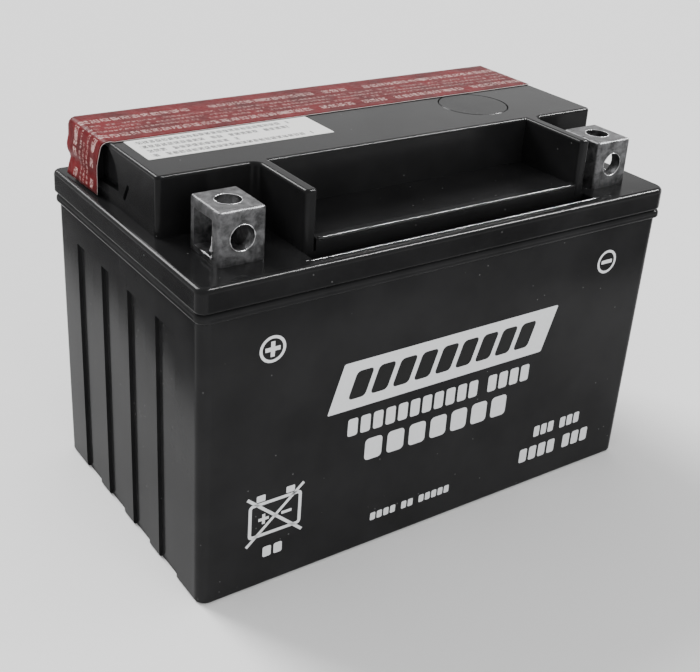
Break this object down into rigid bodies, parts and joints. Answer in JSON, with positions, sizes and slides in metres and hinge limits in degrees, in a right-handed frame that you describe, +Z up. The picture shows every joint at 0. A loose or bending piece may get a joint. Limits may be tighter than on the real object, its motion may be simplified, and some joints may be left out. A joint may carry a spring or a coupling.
{
  "type": "motorcycle battery",
  "caption": "Sealed black motorcycle battery: moulded case and stepped cover, hollow lead terminals in front recesses, red foil over the filler ports.",
  "frame": {"origin": "centre of the base", "axes": "+X along the length towards the negative terminal, -Y towards the printed front with the terminals, +Z up"},
  "size_m": [0.15, 0.087, 0.105],
  "materials": {
    "case_black": "moulded, glossy",
    "cover_black": "moulded, glossy",
    "vent_black": "moulded, glossy",
    "foil_red": "red lacquered foil, satin",
    "label_white": "matt paper",
    "lead_casting": "cast lead, dull",
    "lead_inner": "cast lead, dull",
    "positive_paste": "pasted plate, brown",
    "negative_paste": "pasted plate, grey",
    "glass_mat": "glass fibre mat",
    "filter_white": "porous",
    "valve_rubber": "soft rubber",
    "seal_rubber": "soft rubber"
  },
  "bodies": {
    "battery": {"cell_1_negative_plates": "negative_paste", "cell_1_negative_strap": "lead_inner", "cell_1_positive_plates": "positive_paste", "cell_1_positive_strap": "lead_inner", "cell_1_separators": "glass_mat", "cell_2_negative_plates": "negative_paste", "cell_2_negative_strap": "lead_inner", "cell_2_positive_plates": "positive_paste", "cell_2_positive_strap": "lead_inner", "cell_2_separators": "glass_mat", "cell_3_negative_plates": "negative_paste", "cell_3_negative_strap": "lead_inner", "cell_3_positive_plates": "positive_paste", "cell_3_positive_strap": "lead_inner", "cell_3_separators": "glass_mat", "cell_4_negative_plates": "negative_paste", "cell_4_negative_strap": "lead_inner", "cell_4_positive_plates": "positive_paste", "cell_4_positive_strap": "lead_inner", "cell_4_separators": "glass_mat", "cell_5_negative_plates": "negative_paste", "cell_5_negative_strap": "lead_inner", "cell_5_positive_plates": "positive_paste", "cell_5_positive_strap": "lead_inner", "cell_5_separators": "glass_mat", "cell_6_negative_plates": "negative_paste", "cell_6_negative_strap": "lead_inner", "cell_6_positive_plates": "positive_paste", "cell_6_positive_strap": "lead_inner", "cell_6_separators": "glass_mat", "cell_partitions": "case_black", "container": "case_black", "cover_block": "cover_black", "cover_flange": "cover_black", "cover_shelf": "cover_black", "instruction_label": "label_white", "intercell_welds": "lead_inner", "left_divider": "cover_black", "negative_terminal_front": "lead_casting", "negative_terminal_post": "lead_casting", "negative_terminal_top": "lead_casting", "positive_terminal_front": "lead_casting", "positive_terminal_post": "lead_casting", "positive_terminal_top": "lead_casting", "right_divider": "cover_black", "terminal_seals": "seal_rubber", "vent_cover": "vent_black", "vent_filter": "filter_white"},
    "foil": {"foil_seal": "foil_red"},
    "valve": {"relief_valve_cap": "valve_rubber"}
  },
  "joints": [
    {"name": "foil_peel", "type": "hinge", "parent": "battery", "child": "foil", "pos_m": [0.0702, 0.025, 0.1048], "axis": [0, 1, 0], "range_deg": [0, 100]},
    {"name": "relief_valve_lift", "type": "slide", "parent": "battery", "child": "valve", "axis": [0, 0, 1], "range_m": [0, 0.0008], "stiffness_N_per_m": 300, "springref_m": -0.001}
  ]
}
